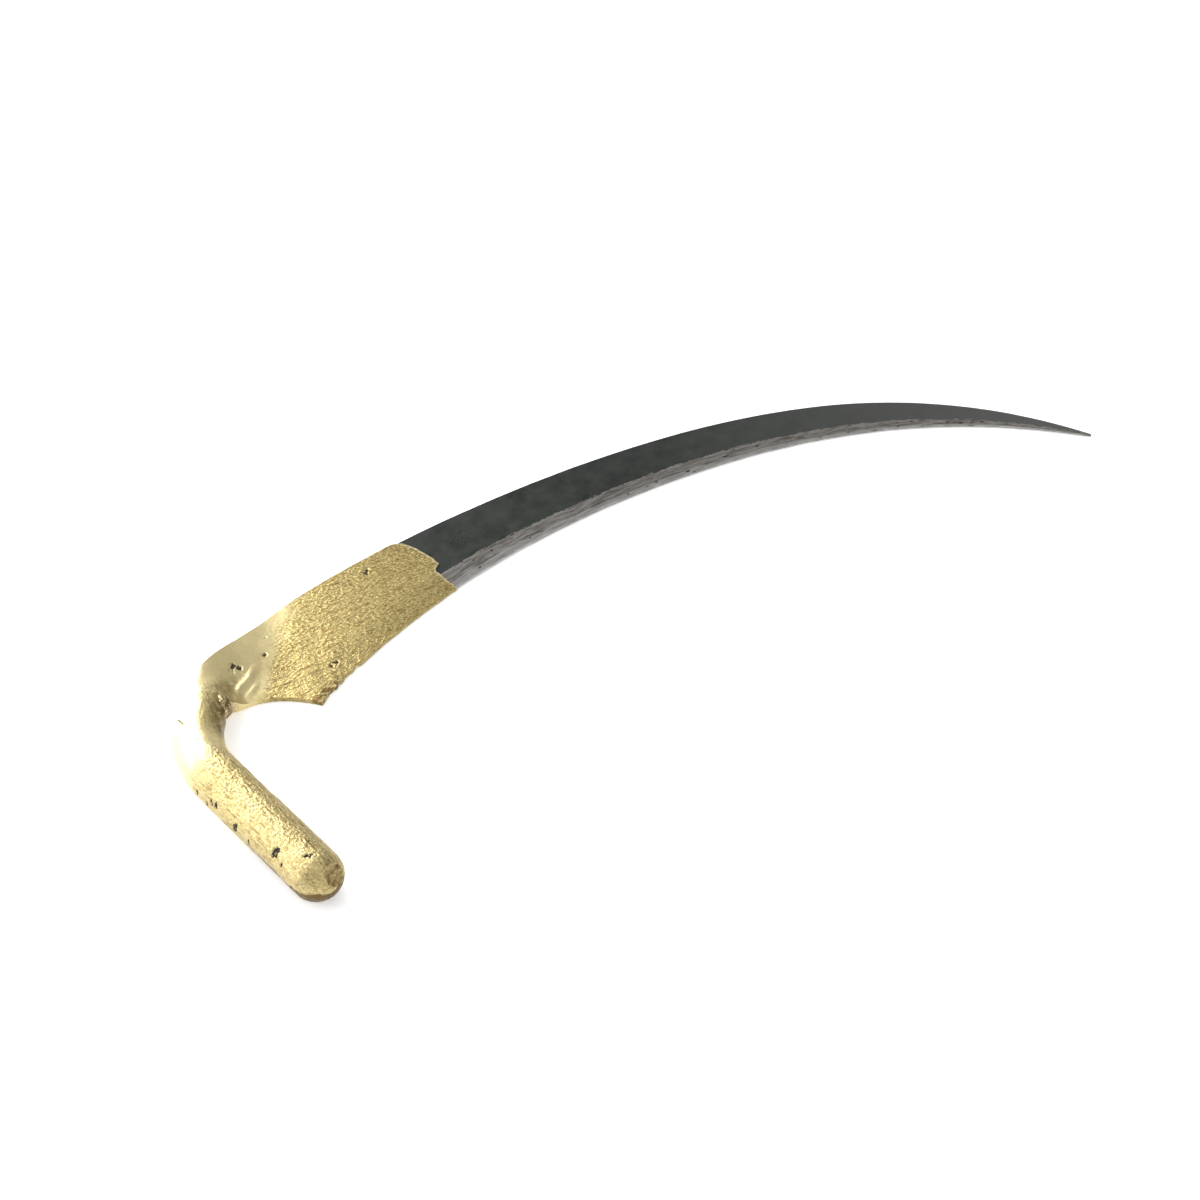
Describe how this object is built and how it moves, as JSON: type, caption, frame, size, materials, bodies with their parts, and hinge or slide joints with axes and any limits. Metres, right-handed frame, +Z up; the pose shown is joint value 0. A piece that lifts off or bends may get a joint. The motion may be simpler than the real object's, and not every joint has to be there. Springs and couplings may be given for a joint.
{
  "type": "hand sickle",
  "caption": "Hand-forged sickle with a long curved blade, a bevel ground on its inner edge, and a bent round bar as its grip, the heel and the grip coated in rough gold.",
  "frame": {"origin": "on the round grip's axis, half-way along its straight length", "axes": "-Y toward the grip's free end, +Y toward the bend, +X out from the grip toward the blade's point, +Z up from the surface the sickle lies on, the bevelled face up"},
  "size_m": [0.4256, 0.1433, 0.02],
  "materials": {
    "scaled_iron": "dark forge scale, ground to bare metal on the bevel",
    "ground_steel": "ground along the edge, worn and pitted",
    "bar_iron": "as forged",
    "weld_iron": "rough, partly coated",
    "gold_coat": "thick, pebbly gold coat with streaks and chips",
    "grip_coat": "thick, pebbly gold coat, paler and worn"
  },
  "bodies": {
    "root": {"blade_body": "scaled_iron", "edge_steel": "ground_steel", "tang_bar": "bar_iron", "weld_bead": "weld_iron", "heel_coat": "gold_coat", "tang_coat": "grip_coat"}
  },
  "joints": []
}
